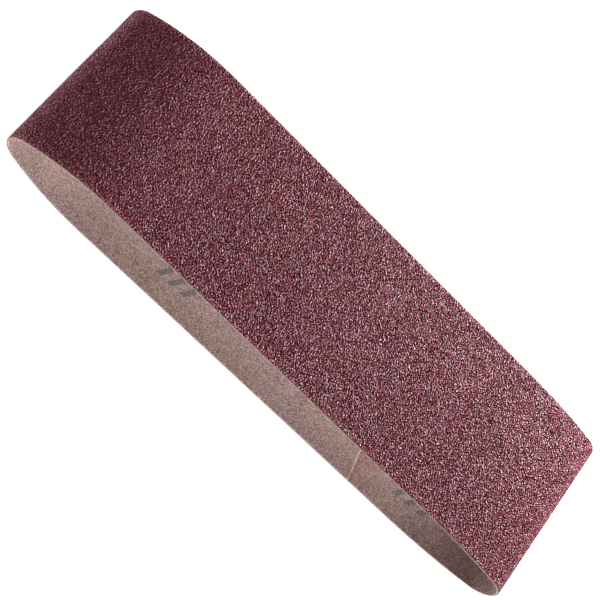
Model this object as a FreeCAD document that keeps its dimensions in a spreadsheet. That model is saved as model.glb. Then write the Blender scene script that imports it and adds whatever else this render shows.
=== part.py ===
import FreeCAD, Part
import math
import os

import Sketcher

# An endless sanding belt, lying loose on its outer face: one strip of coated
# cloth, lapped and glued into a loop.  Its layers, from the inside out, are the
# backing cloth, the make coat (the resin that holds the grain), the abrasive
# grain, and the size coat (the resin brushed over the grain).
#
# Frame: +X along the loop towards its lower end, +Y across the belt, +Z up.
# The origin is under the middle of the loop, on the surface that it lies on.

Vector = FreeCAD.Vector
doc = FreeCAD.newDocument("sanding_belt")

# ---------------------------------------------------------------- driving sizes
# Millimetres and degrees: alias, value, what it sizes.
DRIVING_SIZES = [
    ("belt_length", 533, "round the inner face of the loop"),
    ("belt_width", 75, "from cut edge to cut edge"),
    ("left_end_height", 34.3, "inside the loop, where its left end begins"),
    ("right_end_height", 28.6, "inside the loop, where its right end begins"),
    ("left_tip_radius", 9.2, "the tight bend in the middle of the left end"),
    ("left_shoulder_radius", 78, "the slack bends above and below it"),
    ("right_tip_radius", 9.8, "the tight bend in the middle of the right end"),
    ("right_shoulder_radius", 180, "the slack bends above and below it"),
    ("cloth_thickness", 0.6, "backing cloth"),
    ("make_thickness", 0.12, "resin under the grain"),
    ("grain_thickness", 0.34, "one layer of coarse grain"),
    ("size_thickness", 0.08, "resin over the grain"),
    ("splice_place", 56.3, "where the inner cut edge meets the front edge"),
    ("splice_angle", 12.5, "the cut's angle off square"),
    ("lap_length", 9, "how far the two ends overlap, along the belt"),
    ("film_thickness", 0.08, "glue between the lapped ends"),
    ("inner_tongue", 0.3, "cloth left on the inner end after skiving"),
    ("edge_step", 0.2, "how far the inner end stands proud"),
    ("glue_gap", 0.15, "glue line at each cut end"),
    ("bead_width", 1.2, "glue squeezed out along the inner cut edge"),
    ("bead_height", 0.12, "glue squeezed out along the inner cut edge"),
    ("coat_gap", 0.3, "bare line across the coats at the outer cut end"),
    ("ink_thickness", 0.05, "one pass of printing ink"),
    ("chevron_span", 9, "a printed chevron, across the belt"),
    ("chevron_lean", 3.2, "its point ahead of its arms' ends"),
    ("chevron_stroke", 2.6, "its arm's thickness, along the belt"),
    ("chevron_pitch", 6.2, "from one chevron to the next"),
    ("chevron_count", 3, "chevrons in each printed mark"),
    ("chevron_inset", 14, "from the front edge to the chevrons' points"),
    ("left_mark_place", -54.4, "arm ends of the first chevron near the left end"),
    ("right_mark_place", 73.7, "arm ends of the first chevron near the right end"),
]

sizes = doc.addObject("Spreadsheet::Sheet", "sizes")
for row, (alias, value, meaning) in enumerate(DRIVING_SIZES, start=1):
    sizes.set(f"A{row}", alias)
    sizes.set(f"B{row}", str(value))
    sizes.setAlias(f"B{row}", alias)
    sizes.set(f"C{row}", meaning)

# ------------------------------------------------------------- worked-out sizes
derived = doc.addObject("App::VarSet", "derived")


def work_out(name, formula):
    """Adds a derived size, and returns the words that name it in an expression."""
    derived.addProperty("App::PropertyFloat", name, "derived")
    derived.setExpression(name, formula)
    return f"derived.{name}"


# Each end of the loop is a shoulder bend, a tip bend and a shoulder bend.  A
# shoulder of radius S beside a tip of radius T, in an end of height H, turns
# through the angle whose cosine is (2S - H) / 2(S - T).
for side in ("left", "right"):
    shoulder, tip = f"sizes.{side}_shoulder_radius", f"sizes.{side}_tip_radius"
    cosine = f"(2 * {shoulder} - sizes.{side}_end_height) / (2 * ({shoulder} - {tip}))"
    degrees = work_out(f"{side}_shoulder_turn", f"acos({cosine}) / 1deg")
    work_out(f"{side}_tip_reach", f"({shoulder} - {tip}) * sin({degrees} * 1deg)")
    work_out(
        f"{side}_bend_length",
        f"pi / 180 * (2 * {shoulder} * {degrees} + {tip} * (180 - 2 * {degrees}))",
    )

# What is left of the belt's length is shared by the two runs.  The upper one
# slopes, so it is longer than the flat one by its rise squared over twice its
# length.
work_out("rise", "sizes.left_end_height - sizes.right_end_height")
work_out("even_run", "(sizes.belt_length - left_bend_length - right_bend_length) / 2")
work_out("flat_run", "even_run - rise ^ 2 / (4 * even_run)")
# The middle of the loop is over the origin, so the flat run starts off centre
# by half the difference between the two ends' reaches.
work_out("left_reach", "left_tip_reach + sizes.left_tip_radius")
work_out("right_reach", "right_tip_reach + sizes.right_tip_radius")
work_out("flat_run_start", "-(flat_run + right_reach - left_reach) / 2")

# The cut's place half-way across the belt, where its side view is drawn.
work_out(
    "inner_cut",
    "sizes.splice_place - sizes.belt_width / 2 * tan(sizes.splice_angle * 1deg)",
)

# Each layer's face, by how far it lies outside the belt's inner face.
work_out("ink_face", "-sizes.ink_thickness")
work_out("make_face", "sizes.cloth_thickness")
work_out("grain_face", "make_face + sizes.make_thickness")
work_out("size_face", "grain_face + sizes.grain_thickness")
work_out("belt_thickness", "size_face + sizes.size_thickness")
doc.recompute()


# ------------------------------------------------------------ sketching helpers
def plane_of(body, role):
    """The origin plane of a body with a given role, such as XZ_Plane."""
    return next(f for f in body.Origin.OriginFeatures if f.Role == role)


def bind(sketch, kind, elements, name, formula, start_value):
    """Adds a named dimension to a sketch and binds it to the sheet's sizes."""
    index = sketch.addConstraint(Sketcher.Constraint(kind, *elements, start_value))
    sketch.renameConstraint(index, name)
    sketch.setExpression(f"Constraints.{name}", formula)


def arc_after(start, heading, radius, turn):
    """A left-turning arc from a point and heading: the arc, its end, its heading."""
    centre = start + Vector(-math.sin(heading), math.cos(heading)) * radius
    first = heading - math.pi / 2
    circle = Part.Circle(centre, Vector(0, 0, 1), radius)
    arc = Part.ArcOfCircle(circle, first, first + turn)
    end = centre + Vector(math.cos(first + turn), math.sin(first + turn)) * radius
    return arc, end, heading + turn


START, END, CENTRE = 1, 2, 3
(BOTTOM, RIGHT_LOWER, RIGHT_TIP, RIGHT_UPPER, TOP, LEFT_UPPER, LEFT_TIP, LEFT_LOWER) = range(8)
ORIGIN = (-1, 1)


def draw_loop(sketch, face):
    """Draws the side view of the loop, as far outside its inner face as face says.

    Eight tangent pieces: the flat lower run, the right end's three bends, the
    sloping upper run, and the left end's three bends."""
    outside = derived.getPropertyByName(face) if face else 0.0
    radii = {
        f"{side}_{bend}_radius": float(sizes.get(f"{side}_{bend}_radius")) + outside
        for side in ("left", "right")
        for bend in ("tip", "shoulder")
    }
    turns = {
        side: math.radians(derived.getPropertyByName(f"{side}_shoulder_turn"))
        for side in ("left", "right")
    }
    slope = math.atan(derived.rise / derived.flat_run)
    right_bends = [
        (radii["right_shoulder_radius"], turns["right"]),
        (radii["right_tip_radius"], math.pi - 2 * turns["right"]),
        (radii["right_shoulder_radius"], turns["right"] - slope),
    ]
    left_bends = [
        (radii["left_shoulder_radius"], turns["left"] + slope),
        (radii["left_tip_radius"], math.pi - 2 * turns["left"]),
        (radii["left_shoulder_radius"], turns["left"]),
    ]
    lower_left = Vector(derived.flat_run_start, -outside)
    lower_right = lower_left + Vector(derived.flat_run, 0)
    pieces = [Part.LineSegment(lower_left, lower_right)]
    place, heading = lower_right, 0.0
    for radius, turn in right_bends:
        arc, place, heading = arc_after(place, heading, radius, turn)
        pieces.append(arc)
    upper_left = place + Vector(math.cos(heading), math.sin(heading)) * derived.flat_run
    pieces.append(Part.LineSegment(place, upper_left))
    place = upper_left
    for radius, turn in left_bends:
        arc, place, heading = arc_after(place, heading, radius, turn)
        pieces.append(arc)
    sketch.addGeometry(pieces)

    for piece in range(len(pieces)):
        following = (piece + 1) % len(pieces)
        sketch.addConstraint(Sketcher.Constraint("Tangent", piece, END, following, START))
    sketch.addConstraint(Sketcher.Constraint("Horizontal", BOTTOM))
    added = f" + derived.{face}" if face else ""
    ends = [
        ("left", LEFT_LOWER, LEFT_TIP, LEFT_UPPER),
        ("right", RIGHT_LOWER, RIGHT_TIP, RIGHT_UPPER),
    ]
    for side, lower, tip, upper in ends:
        sketch.addConstraint(Sketcher.Constraint("Equal", lower, upper))
        sketch.addConstraint(Sketcher.Constraint("Vertical", lower, CENTRE, upper, CENTRE))
        shoulder_value, tip_value = radii[f"{side}_shoulder_radius"], radii[f"{side}_tip_radius"]
        bind(sketch, "Radius", (lower,), f"{side}_shoulder",
             f"sizes.{side}_shoulder_radius{added}", shoulder_value)
        bind(sketch, "Radius", (tip,), f"{side}_tip",
             f"sizes.{side}_tip_radius{added}", tip_value)
        centres_apart = (
            2 * float(sizes.get(f"{side}_shoulder_radius"))
            - float(sizes.get(f"{side}_end_height"))
        )
        bind(sketch, "DistanceY", (upper, CENTRE, lower, CENTRE), f"{side}_centres_apart",
             f"2 * sizes.{side}_shoulder_radius - sizes.{side}_end_height", centres_apart)
    bind(sketch, "DistanceX", (BOTTOM, START, BOTTOM, END), "flat_run",
         "derived.flat_run", derived.flat_run)
    bind(sketch, "DistanceX", (BOTTOM, START, *ORIGIN), "run_start",
         "-derived.flat_run_start", -derived.flat_run_start)
    # Tied by the lower bend's centre, which is never at the origin's height.
    bind(sketch, "DistanceY", (*ORIGIN, LEFT_LOWER, CENTRE), "centre_height",
         "sizes.left_shoulder_radius", float(sizes.get("left_shoulder_radius")))


def check(obj):
    """Stops the build if an object failed or has no valid shape."""
    if "Invalid" in obj.State or "Error" in obj.State:
        raise RuntimeError(f"{obj.Label}: {obj.State}")
    if hasattr(obj, "Shape") and (obj.Shape.isNull() or not obj.Shape.isValid()):
        raise RuntimeError(f"{obj.Label} has no valid shape")


# ---------------------------------------------------------------- layered loops
def lift(obj):
    """Raises an object so that the belt's outer face lies on the surface."""
    obj.setExpression("Placement.Base.z", "derived.belt_thickness")


def make_ring(name, inner_face, outer_face):
    """A layer that goes right round the loop: a pad, with its inside pocketed out."""
    body = doc.addObject("PartDesign::Body", name)
    for face, feature in ((outer_face, "Pad"), (inner_face, "Pocket")):
        sketch = body.newObject("Sketcher::SketchObject", f"{name}_{feature}_outline")
        sketch.AttachmentSupport = [(plane_of(body, "XZ_Plane"), "")]
        sketch.MapMode = "FlatFace"
        draw_loop(sketch, face)
        solid = body.newObject(f"PartDesign::{feature}", f"{name}_{feature}")
        solid.Profile = sketch
        solid.SideType = "Symmetric"
        solid.setExpression("Length", "sizes.belt_width")
        body.Tip = solid
    lift(body)
    return body


cloth_ring = make_ring("cloth_ring", "", "make_face")
make_coat_ring = make_ring("make_coat_ring", "make_face", "grain_face")
grain_ring = make_ring("grain_ring", "grain_face", "size_face")
size_ring = make_ring("size_coat_ring", "size_face", "belt_thickness")
ink_ring = make_ring("ink_ring", "ink_face", "")


# ------------------------------------------------------------------- the splice
# The cut runs across the belt at a slant, so everything in it is one side view,
# drawn half-way across and swept both ways along the cut.  In that side view x
# is measured from the inner cut edge, and z from the belt's inner face.
def swept_along_cut(name, corners):
    """A side view with these corners, given as formulas, swept along the cut."""
    sketch = doc.addObject("Sketcher::SketchObject", f"{name}_side_view")
    sketch.Placement = FreeCAD.Placement(
        Vector(0, 0, 0), FreeCAD.Rotation(Vector(1, 0, 0), 90)
    )
    lift(sketch)
    draw_polygon(sketch, corners)
    sweep = doc.addObject("Part::Extrusion", name)
    sweep.Base = sketch
    sweep.Solid = True
    sweep.DirMode = "Custom"
    sweep.Dir = (0, 1, 0)
    sweep.setExpression("Dir.x", "-sin(sizes.splice_angle * 1deg)")
    sweep.setExpression("Dir.y", "cos(sizes.splice_angle * 1deg)")
    half_cut = "sizes.belt_width / (2 * cos(sizes.splice_angle * 1deg))"
    sweep.setExpression("LengthFwd", half_cut)
    sweep.setExpression("LengthRev", half_cut)
    return sweep


def draw_polygon(sketch, corners):
    """Draws a closed polygon whose corners are pairs of formulas."""
    places = [
        Vector(*(float(derived.evalExpression(formula)) for formula in corner))
        for corner in corners
    ]
    count = len(places)
    sketch.addGeometry(
        [Part.LineSegment(places[n], places[(n + 1) % count]) for n in range(count)]
    )
    for n, (corner, place) in enumerate(zip(corners, places)):
        sketch.addConstraint(
            Sketcher.Constraint("Coincident", n, END, (n + 1) % count, START)
        )
        bind(sketch, "DistanceX", (*ORIGIN, n, START), f"x{n}", corner[0], place.x)
        bind(sketch, "DistanceY", (*ORIGIN, n, START), f"y{n}", corner[1], place.y)


CUT = "derived.inner_cut"
LAP = f"{CUT} - sizes.lap_length"
FILM_TOP = "-sizes.inner_tongue"
FILM_BOTTOM = "-(sizes.inner_tongue + sizes.film_thickness)"

# The inner end rises to stand a step proud of the end that it is glued over.
proud_end = swept_along_cut("proud_end", [(LAP, "0"), (CUT, "0"), (CUT, "sizes.edge_step")])

# The glue fills the lap, both cut lines, and a bead against the proud cut edge.
splice_adhesive = swept_along_cut("splice_adhesive", [
    (f"{LAP} - sizes.glue_gap", "-sizes.cloth_thickness"),
    (LAP, "-sizes.cloth_thickness"),
    (LAP, FILM_BOTTOM),
    (f"{CUT} + sizes.glue_gap", FILM_BOTTOM),
    (f"{CUT} + sizes.glue_gap", "0"),
    (f"{CUT} + sizes.bead_width", "0"),
    (CUT, "sizes.bead_height"),
    (CUT, FILM_TOP),
    (f"{LAP} - sizes.glue_gap", FILM_TOP),
])

# The coats stop short of the outer cut end, right through to the surface.
coat_break = swept_along_cut("coat_break", [
    (f"{LAP} - sizes.coat_gap", "-sizes.cloth_thickness"),
    (LAP, "-sizes.cloth_thickness"),
    (LAP, "-2 * derived.belt_thickness"),
    (f"{LAP} - sizes.coat_gap", "-2 * derived.belt_thickness"),
])


def boolean(kind, name, base, tool):
    """A Part boolean of two objects."""
    result = doc.addObject(f"Part::{kind}", name)
    result.Base = base
    result.Tool = tool
    return result


strip = boolean("Fuse", "cloth_strip", cloth_ring, proud_end)
backing_cloth = boolean("Cut", "backing_cloth", strip, splice_adhesive)
make_coat = boolean("Cut", "make_coat", make_coat_ring, coat_break)
abrasive_grain = boolean("Cut", "abrasive_grain", grain_ring, coat_break)
size_coat = boolean("Cut", "size_coat", size_ring, coat_break)


# ------------------------------------------------------------ the printed marks
def make_chevrons(name, place):
    """A row of upright chevron prisms, to be cut down to one pass of ink."""
    body = doc.addObject("PartDesign::Body", name)
    sketch = body.newObject("Sketcher::SketchObject", f"{name}_outline")
    sketch.AttachmentSupport = [(plane_of(body, "XY_Plane"), "")]
    sketch.MapMode = "FlatFace"
    middle = "sizes.chevron_inset - sizes.belt_width / 2"
    front = f"{middle} - sizes.chevron_span / 2"
    back = f"{middle} + sizes.chevron_span / 2"
    draw_polygon(sketch, [
        (place, front),
        (f"{place} + sizes.chevron_stroke", front),
        (f"{place} + sizes.chevron_stroke + sizes.chevron_lean", middle),
        (f"{place} + sizes.chevron_stroke", back),
        (place, back),
        (f"{place} + sizes.chevron_lean", middle),
    ])
    pad = body.newObject("PartDesign::Pad", f"{name}_pad")
    pad.Profile = sketch
    pad.SideType = "Symmetric"
    pad.setExpression("Length", "sizes.right_end_height / 2")
    doc.recompute()
    row = body.newObject("PartDesign::LinearPattern", f"{name}_row")
    row.Originals = [pad]
    row.Direction = (sketch, ["H_Axis"])
    row.Mode = "Spacing"
    row.setExpression("Offset", "sizes.chevron_pitch")
    row.setExpression("Occurrences", "sizes.chevron_count")
    body.Tip = row
    lift(body)
    return body


chevrons = boolean(
    "Fuse",
    "chevrons",
    make_chevrons("left_chevrons", "sizes.left_mark_place"),
    make_chevrons("right_chevrons", "sizes.right_mark_place"),
)
direction_marks = boolean("Common", "direction_marks", ink_ring, chevrons)

# ------------------------------------------------------------- check and export
doc.recompute()
for thing in doc.Objects:
    check(thing)

nodes = [backing_cloth, make_coat, abrasive_grain, size_coat, splice_adhesive, direction_marks]
os.makedirs("parts", exist_ok=True)
for node in nodes:
    node.Shape.exportStep(f"parts/{node.Label}.step")
    box = node.Shape.BoundBox
    print(
        f"{node.Label}: {len(node.Shape.Solids)} solids, {node.Shape.Volume:.1f} mm3, "
        f"x {box.XMin:.2f} to {box.XMax:.2f}, y {box.YMin:.2f} to {box.YMax:.2f}, "
        f"z {box.ZMin:.2f} to {box.ZMax:.2f}"
    )
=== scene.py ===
import math

import bmesh
import bpy
import numpy as np
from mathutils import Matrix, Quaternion, Vector


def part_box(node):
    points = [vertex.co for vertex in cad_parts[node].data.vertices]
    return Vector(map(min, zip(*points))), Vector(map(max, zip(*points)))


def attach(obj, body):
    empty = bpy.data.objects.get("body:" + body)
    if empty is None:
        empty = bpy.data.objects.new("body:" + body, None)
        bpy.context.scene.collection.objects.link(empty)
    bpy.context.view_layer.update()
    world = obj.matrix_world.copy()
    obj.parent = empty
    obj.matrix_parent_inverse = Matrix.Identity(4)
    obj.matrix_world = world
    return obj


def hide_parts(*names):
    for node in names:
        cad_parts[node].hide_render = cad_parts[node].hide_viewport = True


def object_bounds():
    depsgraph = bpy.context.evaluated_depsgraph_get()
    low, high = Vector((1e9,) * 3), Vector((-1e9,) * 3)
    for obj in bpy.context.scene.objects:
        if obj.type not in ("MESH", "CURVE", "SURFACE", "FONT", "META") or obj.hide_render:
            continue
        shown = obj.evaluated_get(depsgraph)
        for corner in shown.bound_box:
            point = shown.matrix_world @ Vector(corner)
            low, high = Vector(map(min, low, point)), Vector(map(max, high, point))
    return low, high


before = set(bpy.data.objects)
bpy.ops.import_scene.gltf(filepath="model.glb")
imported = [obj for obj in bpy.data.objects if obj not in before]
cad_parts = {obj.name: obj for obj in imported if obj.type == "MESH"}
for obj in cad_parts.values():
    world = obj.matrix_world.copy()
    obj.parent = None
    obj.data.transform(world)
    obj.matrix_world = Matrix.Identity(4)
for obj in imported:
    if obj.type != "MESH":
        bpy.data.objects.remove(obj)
cad_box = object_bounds()

# ------------------------------------------------------------------ backing cloth
# One strip of stiff cotton and polyester twill, filled with resin and slit to
# width, so its cut edges are pale and a little ragged.  Its two ends are skived
# thin and lapped on a slant, and the inner end stands a step proud.
MM = 0.001
rng = np.random.default_rng(40)
cloth_low, cloth_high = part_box("backing_cloth")
BELT_WIDTH = (cloth_high.y - cloth_low.y) / MM
HALF_WIDTH = BELT_WIDTH / 2
BELT_LENGTH = 533.0
END_HEIGHT = {"left": 34.3, "right": 28.6}
TIP_RADIUS = {"left": 9.2, "right": 9.8}
SHOULDER_RADIUS = {"left": 78.0, "right": 180.0}
CLOTH_THICKNESS = 0.6
BELT_THICKNESS = 1.14


def shoulder_turn(side):
    """How far the slack bend beside an end's tight tip turns, in radians."""
    slack, tight = SHOULDER_RADIUS[side], TIP_RADIUS[side]
    return math.acos((2 * slack - END_HEIGHT[side]) / (2 * (slack - tight)))


def bend_length(side):
    """The length of one end of the loop, from one run to the other."""
    turn = shoulder_turn(side)
    return 2 * SHOULDER_RADIUS[side] * turn + TIP_RADIUS[side] * (math.pi - 2 * turn)


def lay_out_loop():
    """The loop's side view, going round its inner face from the flat run's start.

    Each stretch is its length, its place and heading at its start, and its
    radius, which is 0 for a straight one."""
    right, left = shoulder_turn("right"), shoulder_turn("left")
    even_run = (BELT_LENGTH - bend_length("left") - bend_length("right")) / 2
    rise = END_HEIGHT["left"] - END_HEIGHT["right"]
    flat_run = even_run - rise**2 / (4 * even_run)
    # The sloping run touches both upper slack bends, so it follows from where
    # their centres are.
    radius_apart = SHOULDER_RADIUS["right"] - SHOULDER_RADIUS["left"]
    centre_rise = radius_apart + rise
    centres_apart = math.hypot(flat_run, centre_rise)
    sloping_run = math.sqrt(centres_apart**2 - radius_apart**2)
    slope = math.acos(radius_apart / centres_apart) - math.atan2(flat_run, centre_rise)
    bends = [
        (0.0, flat_run),
        (SHOULDER_RADIUS["right"], right),
        (TIP_RADIUS["right"], math.pi - 2 * right),
        (SHOULDER_RADIUS["right"], right - slope),
        (0.0, sloping_run),
        (SHOULDER_RADIUS["left"], left + slope),
        (TIP_RADIUS["left"], math.pi - 2 * left),
        (SHOULDER_RADIUS["left"], left),
    ]
    stretches, x, z, heading = [], 0.0, 0.0, 0.0
    for radius, amount in bends:
        length = radius * amount if radius else amount
        stretches.append((length, x, z, heading, radius))
        if radius:
            x += radius * (math.sin(heading + amount) - math.sin(heading))
            z += radius * (math.cos(heading) - math.cos(heading + amount))
            heading += amount
        else:
            x += length * math.cos(heading)
            z += length * math.sin(heading)
    return np.array(stretches)


STRETCHES = lay_out_loop()
STARTS = np.concatenate([[0], np.cumsum(STRETCHES[:, 0])])
LOOP_LENGTH = STARTS[-1]


def side_view(along, outside):
    """x and z, in mm, of places this far round the loop and this far outside its
    inner face, before the loop is centred."""
    along = np.mod(along, LOOP_LENGTH)
    which = np.searchsorted(STARTS, along, side="right") - 1
    which = np.clip(which, 0, len(STRETCHES) - 1)
    _, x, z, heading, radius = STRETCHES[which].T
    gone = along - STARTS[which]
    turned = heading + np.where(radius > 0, gone / np.maximum(radius, 1), 0)
    straight = np.where(radius > 0, 0, gone)
    x = x + straight * np.cos(heading) + radius * (np.sin(turned) - np.sin(heading))
    z = z + straight * np.sin(heading) + radius * (np.cos(heading) - np.cos(turned))
    return x + outside * np.sin(turned), z - outside * np.cos(turned)


OUTLINE_POINTS = 4000
outline = np.linspace(0, LOOP_LENGTH, OUTLINE_POINTS)
round_x, _ = side_view(outline, np.zeros(OUTLINE_POINTS))
LOOP_MIDDLE = (round_x.min() + round_x.max()) / 2


def rolled(along, across, outside):
    """Places on the belt, in metres, from their place on the flat strip, in mm:
    along it, across it from its middle, and outwards from its inner face."""
    x, z = side_view(along, outside)
    return np.stack([x - LOOP_MIDDLE, across, z + BELT_THICKNESS], -1) * MM


# The lapped ends are cut on a slant, which moves each place on the strip along
# it.  The slant is whole by the lap and fades out over the cloth beyond it.
SPLICE_ANGLE = math.radians(12.5)
SPLICE_PLACE = 56.3
LAP_LENGTH = 9.0
SLANT_MARGIN = 2
SLANT_FADE = 25
INNER_CUT = SPLICE_PLACE - HALF_WIDTH * math.tan(SPLICE_ANGLE) + LOOP_MIDDLE
OUTER_CUT = INNER_CUT - LAP_LENGTH


def slanted(along, across):
    """Moves places on the strip so that the ones at the cut lie along its slant."""
    from_cut = (along - INNER_CUT + LOOP_LENGTH / 2) % LOOP_LENGTH - LOOP_LENGTH / 2
    past_lap = np.maximum(np.abs(from_cut) - LAP_LENGTH - SLANT_MARGIN, 0)
    share = np.clip(1 - past_lap / SLANT_FADE, 0, 1)
    share = share * share * (3 - 2 * share)
    return along - across * math.tan(SPLICE_ANGLE) * share


def strip_piece(name, along, rows, place):
    """A closed strip whose columns lie along it and whose rows go round its section.

    The section's first and last rows are the same, and its ends are capped.
    place(column, row) gives the flat places: along, across, outwards."""
    bm = bmesh.new()
    bm.loops.layers.uv.new("OFBake")
    columns = len(along)
    bmesh.ops.create_grid(
        bm, x_segments=columns - 1, y_segments=rows - 1, size=0.5, calc_uvs=True
    )
    mesh = bpy.data.meshes.new(name)
    bm.to_mesh(mesh)
    bm.free()
    flat = np.empty(len(mesh.vertices) * 3, np.float32)
    mesh.vertices.foreach_get("co", flat)
    flat = flat.reshape(-1, 3) + 0.5
    column = np.rint(flat[:, 0] * (columns - 1)).astype(int)
    row = np.rint(flat[:, 1] * (rows - 1)).astype(int)
    spot = place(column, row)
    mesh.vertices.foreach_set("co", rolled(*spot).astype(np.float32).ravel())
    strip = mesh.attributes.new("strip_mm", "FLOAT_VECTOR", "POINT")
    strip.data.foreach_set("vector", np.stack(spot, -1).astype(np.float32).ravel())
    return mesh, column, row


def mark(mesh, name, values):
    """Stores one number at each of a strip's vertices, for its material to read."""
    attribute = mesh.attributes.new(name, "FLOAT", "POINT")
    attribute.data.foreach_set("value", values.astype(np.float32))


def close_strip(mesh):
    """Joins the strip's first and last rows, caps its ends and points it outwards."""
    bm = bmesh.new()
    bm.from_mesh(mesh)
    # In the mesh's own order, so that every run merges them alike.
    rim = list(dict.fromkeys(v for e in bm.edges if e.is_boundary for v in e.verts))
    bmesh.ops.remove_doubles(bm, verts=rim, dist=1e-7)
    bmesh.ops.holes_fill(bm, edges=[e for e in bm.edges if e.is_boundary], sides=0)
    bmesh.ops.recalc_face_normals(bm, faces=bm.faces)
    bm.to_mesh(mesh)
    bm.free()


def show(mesh, name, material):
    """Puts a finished mesh in the scene and makes it ride with the belt."""
    mesh.materials.append(material)
    piece = bpy.data.objects.new(name, mesh)
    bpy.context.scene.collection.objects.link(piece)
    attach(piece, "root")
    return piece


def linear(hex_colour):
    """An sRGB hex colour as linear red, green, blue and alpha."""
    values = [int(hex_colour[n : n + 2], 16) / 255 for n in (1, 3, 5)]
    return [
        v / 12.92 if v <= 0.04045 else ((v + 0.055) / 1.055) ** 2.4 for v in values
    ] + [1.0]


def node(tree, kind, settings=None, stops=(), **links):
    """Adds a node, sets its settings and sockets, and links what is given as links.

    A colour ramp's stops are its hex colours, each after its place."""
    made = tree.nodes.new("ShaderNode" + kind)
    for key, value in (settings or {}).items():
        if isinstance(key, str) and hasattr(made, key):
            setattr(made, key, value)
        else:
            made.inputs[key].default_value = value
    if stops:
        elements = made.color_ramp.elements
        while len(elements) < len(stops):
            elements.new(0.5)
        for element, (place, colour) in zip(elements, stops):
            element.position = place
            element.color = linear(colour)
    for key, source in links.items():
        target = int(key[1:]) if key[1:].isdigit() else key.replace("_", " ")
        tree.links.new(source, made.inputs[target])
    return made


def new_material(name):
    """An empty node material, its tree and its shader."""
    material = bpy.data.materials.new(name)
    material.use_nodes = True
    tree = material.node_tree
    return material, tree, tree.nodes["Principled BSDF"]


# Threads lie 0.34 mm apart, so each crossing is a fleck of about that size.
THREAD_SPACING = 0.34
FIBRE_WIDTH = 0.3
BLOTCH_WIDTH = 9.0


def cloth_material():
    """Resin-filled twill: dull grey-pink threads with darker pinholes between them.

    Its cut edges are pale where the threads are frayed, and glue has soaked into
    it beside the splice."""
    material, tree, shader = new_material("resin_filled_twill")
    strip = node(tree, "Attribute", {"attribute_name": "strip_mm"}).outputs["Vector"]
    frayed = node(tree, "Attribute", {"attribute_name": "frayed"}).outputs["Fac"]
    soaked = node(tree, "Attribute", {"attribute_name": "soaked"}).outputs["Fac"]
    crossing = node(tree, "TexVoronoi", {"Scale": 1 / THREAD_SPACING}, Vector=strip)
    fleck = node(tree, "SeparateXYZ", Vector=crossing.outputs["Color"]).outputs[0]
    fibre = node(
        tree, "TexNoise", {"Scale": 1 / FIBRE_WIDTH, "Detail": 1.0}, Vector=strip
    ).outputs["Fac"]
    blotch = node(
        tree, "TexNoise", {"Scale": 1 / BLOTCH_WIDTH, "Detail": 3.0, "Roughness": 0.6},
        Vector=strip,
    ).outputs["Fac"]
    threads = node(
        tree, "Math", {"operation": "MULTIPLY_ADD", 1: 0.75}, _0=fleck, _2=fibre
    ).outputs[0]
    toned = node(
        tree, "Math", {"operation": "MULTIPLY_ADD", 1: -0.25}, _0=blotch, _2=threads
    ).outputs[0]
    filled = node(
        tree, "ValToRGB", Fac=toned,
        stops=[(0.25, "#72605d"), (0.74, "#ad918b"), (1.0, "#d4bbb4")],
    ).outputs["Color"]
    glue = node(tree, "Math", {"operation": "MULTIPLY"}, _0=soaked, _1=blotch).outputs[0]
    tinted = node(
        tree, "MixRGB", {"blend_type": "MULTIPLY", "Color2": linear("#f2c4ba")},
        Fac=glue, Color1=filled,
    ).outputs[0]
    uneven = node(
        tree, "Math", {"operation": "MULTIPLY_ADD", 1: 0.9}, _0=fleck, _2=frayed
    ).outputs[0]
    shown = node(tree, "MapRange", {1: 0.75, 2: 1.35}, Value=uneven).outputs[0]
    colour = node(
        tree, "MixRGB", {"Color2": linear("#ffece4")}, Fac=shown, Color1=tinted
    ).outputs[0]
    tree.links.new(colour, shader.inputs["Base Color"])
    bump = node(tree, "Bump", {"Strength": 0.5, "Distance": 0.00012}, Height=threads)
    tree.links.new(bump.outputs[0], shader.inputs["Normal"])
    shader.inputs["Roughness"].default_value = 0.85
    shader.inputs["Specular IOR Level"].default_value = 0.3
    return material


INNER_TONGUE = 0.3
FILM_THICKNESS = 0.08
GLUE_GAP = 0.15
EDGE_STEP = 0.2
FRAYED_WIDTH = 0.4
SOAKED_LENGTH = 11.0
CLOTH_STEP = 0.72
TONGUE_COLUMNS = 13
STEP_RUN = 0.01
EDGE_RAGGED, END_RAGGED = 0.06, 0.12

# Round the strip's section: its inner face, its front cut edge, its outer face,
# and its back cut edge, each place with its depth into the cloth.
rows_across = int(BELT_WIDTH / CLOTH_STEP)
face_across = np.linspace(FRAYED_WIDTH - HALF_WIDTH, HALF_WIDTH - FRAYED_WIDTH, rows_across)
face_across = np.concatenate([[-HALF_WIDTH], face_across, [HALF_WIDTH]])
edge_depth = (0.35, 0.7)
cloth_section = np.array(
    [(across, 0.0) for across in face_across]
    + [(HALF_WIDTH, depth) for depth in edge_depth]
    + [(HALF_WIDTH, 1.0), (-HALF_WIDTH, 1.0)]
    + [(-HALF_WIDTH, depth) for depth in reversed(edge_depth)]
    + [(-HALF_WIDTH, 0.0)]
)

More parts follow.
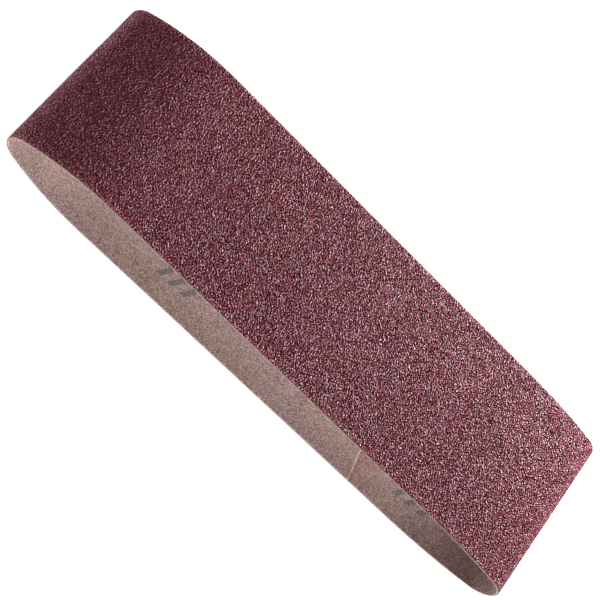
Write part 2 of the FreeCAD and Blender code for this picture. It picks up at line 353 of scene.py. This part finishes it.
# Along the strip: the outer end's thin tongue, the full cloth, the inner end's.
tongue_end = INNER_CUT + GLUE_GAP
full_cloth = np.arange(tongue_end + STEP_RUN, OUTER_CUT + LOOP_LENGTH, CLOTH_STEP)
outer_tongue = np.linspace(OUTER_CUT, INNER_CUT, TONGUE_COLUMNS)
inner_tongue = np.append(outer_tongue, [INNER_CUT - FRAYED_WIDTH, INNER_CUT - 2 * STEP_RUN])
inner_tongue = np.sort(inner_tongue) + LOOP_LENGTH
cloth_along = np.concatenate(
    [outer_tongue, [tongue_end], full_cloth, [OUTER_CUT + LOOP_LENGTH], inner_tongue]
)
count_outer, count_full = len(outer_tongue) + 1, len(full_cloth) + 1
rise_to_edge = np.linspace(0, 1, len(inner_tongue)) ** 2
inner_face = np.concatenate([
    np.full(count_outer, INNER_TONGUE + FILM_THICKNESS),
    np.zeros(count_full),
    -EDGE_STEP * rise_to_edge,
])
outer_face = np.concatenate([
    np.full(count_outer + count_full, CLOTH_THICKNESS),
    np.full(len(inner_tongue), INNER_TONGUE),
])
ragged_edge = rng.normal(0, EDGE_RAGGED, (2, len(cloth_along)))
ragged_end = rng.normal(0, END_RAGGED, len(cloth_section))


def cloth_place(column, row):
    """The strip's flat places, with both slit edges and the proud end ragged."""
    across, depth = cloth_section[row].T
    outside = inner_face[column] * (1 - depth) + outer_face[column] * depth
    at_edge = np.abs(across) == HALF_WIDTH
    across = across + np.where(at_edge, ragged_edge[(across > 0).astype(int), column], 0)
    at_end = column >= len(cloth_along) - 2
    along = cloth_along[column] + np.where(at_end, ragged_end[row], 0)
    return slanted(along, across), across, outside


cloth_mesh, column, row = strip_piece(
    "backing_cloth_weave", cloth_along, len(cloth_section), cloth_place
)
at_slit = np.abs(cloth_section[row, 0]) == HALF_WIDTH
from_end = cloth_along[-1] - cloth_along[column]
past_end = (cloth_along[column] - INNER_CUT) % LOOP_LENGTH
mark(cloth_mesh, "frayed", at_slit | (from_end < 1.1 * FRAYED_WIDTH))
mark(cloth_mesh, "soaked", np.clip(1 - past_end / SOAKED_LENGTH, 0, 1))
close_strip(cloth_mesh)
cloth = show(cloth_mesh, "backing_cloth_weave", cloth_material())
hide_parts("backing_cloth")

# ---------------------------------------------------------------------- make coat
# Phenolic resin that the grain is bedded in, spread on the cloth and baked hard.
# It is dark red-brown and uneven, and both slit edges crush it to pale dust.
DUST_START, DUST_FULL = 0.45, 0.2


def resin_material():
    """Hard brown resin in clouds 1.1 mm across, crushed to pale dust at the edges."""
    material, tree, shader = new_material("bedding_resin")
    place = node(tree, "TexCoord").outputs["Object"]
    cloud = node(
        tree, "TexNoise", {"Scale": 0.9 / MM, "Detail": 2.0}, Vector=place
    ).outputs["Fac"]
    across = node(tree, "SeparateXYZ", Vector=place).outputs[1]
    from_middle = node(tree, "Math", {"operation": "ABSOLUTE"}, _0=across).outputs[0]
    crushed = node(
        tree, "MapRange",
        {1: (HALF_WIDTH - DUST_START) * MM, 2: (HALF_WIDTH - DUST_FULL) * MM},
        Value=from_middle,
    ).outputs[0]
    brown = node(
        tree, "ValToRGB", Fac=cloud, stops=[(0.3, "#2c1115"), (0.7, "#54262b")]
    ).outputs["Color"]
    dust = node(
        tree, "ValToRGB", Fac=cloud, stops=[(0.3, "#b8928a"), (0.7, "#f2dcd2")]
    ).outputs["Color"]
    colour = node(tree, "MixRGB", Fac=crushed, Color1=brown, Color2=dust).outputs[0]
    tree.links.new(colour, shader.inputs["Base Color"])
    shader.inputs["Roughness"].default_value = 0.5
    return material


def finish_layer(name, material):
    """Gives a layer of the frame, whose shape is already right, its material."""
    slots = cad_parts[name].data.materials
    slots.clear()
    slots.append(material)


finish_layer("make_coat", resin_material())

# ------------------------------------------------------------- grain and size coat
# One crowded layer of coarse, sharp aluminium-oxide grains, locked by a second
# coat of glossy resin that is brushed over them and follows their shape.
GRAIN_BED = 0.72
LOWEST_RELIEF = 0.03
GRAIN_TOP = BELT_THICKNESS - 0.015
FACET = 0.26
SCATTER = 0.36
SECTIONS = 8
COAT_GAP = 0.3

coat_length = LOOP_LENGTH - COAT_GAP
columns_each = int(coat_length / FACET / SECTIONS)
grain_columns = columns_each * SECTIONS + 1
grain_rows = int(BELT_WIDTH / FACET) + 1
grain_along = OUTER_CUT + np.linspace(0, coat_length, grain_columns)
grain_across = np.linspace(-HALF_WIDTH, HALF_WIDTH, grain_rows)
grid = (grain_columns, grain_rows)
along_shift = rng.uniform(-SCATTER, SCATTER, grid) * FACET
across_shift = rng.uniform(-SCATTER, SCATTER, grid) * FACET

# Slitting chips the grains along both edges, so they stop short of the cut, and
# the three rows behind them keep in order.
CHIP_LEAST, CHIP_SPREAD = 0.08, 0.3
ROW_SPACING = 0.09
chips = CHIP_LEAST + CHIP_SPREAD * rng.uniform(0, 1, (grain_columns // 2 + 1, 2)) ** 2
chips = np.repeat(chips, 2, 0)[:grain_columns]
grain_place_across = np.tile(grain_across, (grain_columns, 1)) + across_shift
grain_place_across[:, 0] = -HALF_WIDTH + chips[:, 0]
grain_place_across[:, -1] = HALF_WIDTH - chips[:, 1]
for edge, rows, steps in ((0, slice(1, 4), [1, 2, 3]), (1, slice(-4, -1), [3, 2, 1])):
    limit = HALF_WIDTH - chips[:, edge, None] - np.array(steps) * ROW_SPACING
    grain_place_across[:, rows] = np.clip(grain_place_across[:, rows], -limit, limit)

# A grain is two facets across.  Grains keep apart, so a high one has low ground
# round it, each has its own height and its own shade, and rows are staggered.
CROWDING = 0.25
grain_grid = (2, grain_columns // 2 + 2, grain_rows // 2 + 2)
grains = rng.normal(0, 1, grain_grid)
for axis in (1, 2):
    grains -= CROWDING * (np.roll(grains, 1, axis) + np.roll(grains, -1, axis))
grains = np.repeat(grains, 2, 1)
grains[:, :, ::2] = np.roll(grains[:, :, ::2], 1, 1)
grains = np.repeat(grains, 2, 2)[:, 1 : grain_columns + 1, 1 : grain_rows + 1]
height, own_shade = grains

# How high each facet stands, as a share of the relief.  Chipped ones stand lower.
MEAN_LIFT, GRAIN_LIFT, FACET_LIFT, LEAST_LIFT = 0.55, 0.3, 0.14, 0.04
lift = MEAN_LIFT + GRAIN_LIFT * height + FACET_LIFT * rng.normal(0, 1, grid)
lift = np.clip(lift, LEAST_LIFT, 1)
lift[:, [0, -1]] *= 0.55
lift[:, [1, -2]] *= 0.9

# How pale each facet is.  Height gives a painted highlight on high facets and painted
# shade on the low ground between grains; the grain's own shade and the dust by the cut
# are its real colour.
PAINTED_LIGHT_BY_LIFT, LEAST_TONE, TONE_BY_SHADE, TONE_BY_DUST = 0.6, 0.2, 0.2, 0.3
dusty = np.exp(np.abs(grain_across) - HALF_WIDTH)
tone_and_painted_light = PAINTED_LIGHT_BY_LIFT * lift + LEAST_TONE + TONE_BY_SHADE * own_shade + TONE_BY_DUST * dusty
tone_and_painted_light = np.clip(tone_and_painted_light, 0, 1)


def grain_material():
    """Brown-red grain under glossy resin, with painted shade between grains and a painted
    pink highlight on their tops.
    """
    material, tree, shader = new_material("resin_coated_grain")
    tone_and_painted_light = node(tree, "Attribute", {"attribute_name": "tone_and_painted_light"}).outputs["Fac"]
    # Dark stops are painted shade between grains, pale stops a painted pink highlight on
    # their tops.
    colour = node(tree, "ValToRGB", Fac=tone_and_painted_light, stops=[
        (0.1, "#20070a"), (0.4, "#6a1f2b"), (0.6, "#98364a"), (0.8, "#c66c7e"),
        (1.0, "#f2c0c9"),
    ]).outputs["Color"]
    tree.links.new(colour, shader.inputs["Base Color"])
    shader.inputs["Roughness"].default_value = 0.4
    shader.inputs["IOR"].default_value = 1.45
    return material


# Round a stretch's section: the relief from front to back, its bed from back to
# front, and the first row again.
section_row = np.append(np.arange(grain_rows), [grain_rows - 1, 0, 0])
in_relief = np.append(np.ones(grain_rows, bool), [False, False, True])
coat_material = grain_material()
for section in range(SECTIONS):
    first = section * columns_each
    section_along = grain_along[first : first + columns_each + 1]

    def grain_place(column, row):
        """The stretch's flat places, with its grains scattered and raised."""
        spot = first + column, section_row[row]
        along = section_along[column] + along_shift[spot]
        across = grain_place_across[spot]
        relief = (
            GRAIN_BED + LOWEST_RELIEF
            + (GRAIN_TOP - GRAIN_BED - LOWEST_RELIEF) * lift[spot]
        )
        outside = np.where(in_relief[row], relief, GRAIN_BED)
        return slanted(along, across), across, outside

    name = f"grit_{section + 1}"
    mesh, column, row = strip_piece(name, section_along, len(section_row), grain_place)
    # Each facet's colour value carries its painted highlight or shade along with its own
    # colour.
    mark(mesh, "tone_and_painted_light", tone_and_painted_light[first + column, section_row[row]])
    close_strip(mesh)
    piece = show(mesh, name, coat_material)
    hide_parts("abrasive_grain", "size_coat")

# ----------------------------------------------------------------- splice adhesive
# Tough two-part glue: a thin film between the lapped ends, pressed out as a bead
# along the inner cut edge, where it sets brown and a little glossy.
def glue_material():
    """Set glue: red-brown with paler clouds 0.9 mm across, and a dull gloss."""
    material, tree, shader = new_material("splice_glue")
    place = node(tree, "TexCoord").outputs["Object"]
    cloud = node(
        tree, "TexNoise", {"Scale": 1 / (0.9 * MM), "Detail": 3.0}, Vector=place
    ).outputs["Fac"]
    colour = node(
        tree, "ValToRGB", Fac=cloud, stops=[(0.3, "#74463f"), (0.7, "#bd8f84")]
    ).outputs["Color"]
    tree.links.new(colour, shader.inputs["Base Color"])
    shader.inputs["Roughness"].default_value = 0.45
    return material


finish_layer("splice_adhesive", glue_material())

# ------------------------------------------------------------------ direction marks
# Thin grey ink, stamped on the inside of the cloth as plain chevrons that show
# which way the belt may run.
def ink_material():
    """Worn ink: grey, with patches 0.6 mm across where the cloth shows through."""
    material, tree, shader = new_material("worn_ink")
    place = node(tree, "TexCoord").outputs["Object"]
    cloud = node(
        tree, "TexNoise", {"Scale": 1 / (0.6 * MM), "Detail": 2.0}, Vector=place
    ).outputs["Fac"]
    colour = node(
        tree, "ValToRGB", Fac=cloud, stops=[(0.38, "#5a5f60"), (0.62, "#998c87")]
    ).outputs["Color"]
    tree.links.new(colour, shader.inputs["Base Color"])
    shader.inputs["Roughness"].default_value = 0.8
    return material


finish_layer("direction_marks", ink_material())

# ---------------------------------------------------------------- floor and lights
# A product table of white acrylic, lit from below so that it shows no shadow, in
# a dim white room.  The key lamp is low behind the belt's right end, and two wide,
# weaker ones stand beyond its left end and in front.
TABLE_SEEN, TABLE_GIVEN = 0.9, 0.4
ROOM_SEEN, ROOM_GIVEN = 1.0, 0.06


def lit_from_below(name, seen, given):
    """A white surface that is seen this bright, but gives the belt less light."""
    material, tree, shader = new_material(name)
    shader.inputs["Base Color"].default_value = linear("#f2f2f2")
    shader.inputs["Roughness"].default_value = 0.9
    shader.inputs["Emission Color"].default_value = (1, 1, 1, 1)
    ray = node(tree, "LightPath").outputs["Is Camera Ray"]
    strength = node(tree, "MapRange", {3: given, 4: seen}, Value=ray)
    tree.links.new(strength.outputs[0], shader.inputs["Emission Strength"])
    return material


bpy.ops.mesh.primitive_plane_add(size=6)
floor = bpy.context.object
floor.name = "floor"
floor.data.materials.append(lit_from_below("white_acrylic_table", TABLE_SEEN, TABLE_GIVEN))

world = bpy.data.worlds.new("studio")
bpy.context.scene.world = world
world.use_nodes = True
room = world.node_tree
ray = node(room, "LightPath").outputs["Is Camera Ray"]
brightness = node(room, "MapRange", {3: ROOM_GIVEN, 4: ROOM_SEEN}, Value=ray)
room.nodes["Background"].inputs["Color"].default_value = (1, 1, 1, 1)
room.links.new(brightness.outputs[0], room.nodes["Background"].inputs["Strength"])

middle = (cad_box[0] + cad_box[1]) / 2


def soft_lamp(name, azimuth, elevation, distance, size, power):
    """A square lamp aimed at the belt, from this azimuth round from +X towards +Y."""
    round_from_x, tilt = math.radians(azimuth), math.radians(elevation)
    away = Vector((math.cos(round_from_x) * math.cos(tilt),
                   math.sin(round_from_x) * math.cos(tilt), math.sin(tilt)))
    data = bpy.data.lights.new(name, "AREA")
    data.size = size
    data.energy = power
    lamp = bpy.data.objects.new(name, data)
    lamp.location = middle + away * distance
    lamp.rotation_mode = "QUATERNION"
    lamp.rotation_quaternion = (-away).to_track_quat("-Z", "Y")
    bpy.context.scene.collection.objects.link(lamp)


soft_lamp("key_lamp", 56, 14, 0.5, 0.2, 6.9)
soft_lamp("fill_lamp", -170, 5, 0.9, 0.5, 3.5)
soft_lamp("front_lamp", -90, 3, 0.9, 0.5, 1.5)

# -------------------------------------------------------------------------- camera
# A long lens that looks down on the belt from in front, a little to the left, and
# is rolled so that the belt runs across the picture on a slant.
CAMERA_AZIMUTH, CAMERA_ELEVATION, CAMERA_ROLL = -19.68, 62.01, 61.01
CAMERA_DISTANCE = 0.6302
CAMERA_LENS = 97.69
CAMERA_SHIFT = (-0.02787, 0.00945)
turn, tilt = math.radians(CAMERA_AZIMUTH), math.radians(CAMERA_ELEVATION)
back = Vector((math.sin(turn) * math.cos(tilt),
               -math.cos(turn) * math.cos(tilt), math.sin(tilt)))
camera_data = bpy.data.cameras.new("camera")
camera_data.lens = CAMERA_LENS
camera_data.shift_x, camera_data.shift_y = CAMERA_SHIFT
camera_data.clip_start = 0.01
camera = bpy.data.objects.new("camera", camera_data)
camera.location = middle + back * CAMERA_DISTANCE
camera.rotation_mode = "QUATERNION"
roll = Quaternion((0, 0, 1), math.radians(CAMERA_ROLL))
camera.rotation_quaternion = (-back).to_track_quat("-Z", "Y") @ roll
bpy.context.scene.collection.objects.link(camera)
bpy.context.scene.camera = camera
bpy.context.scene.view_settings.view_transform = "Standard"
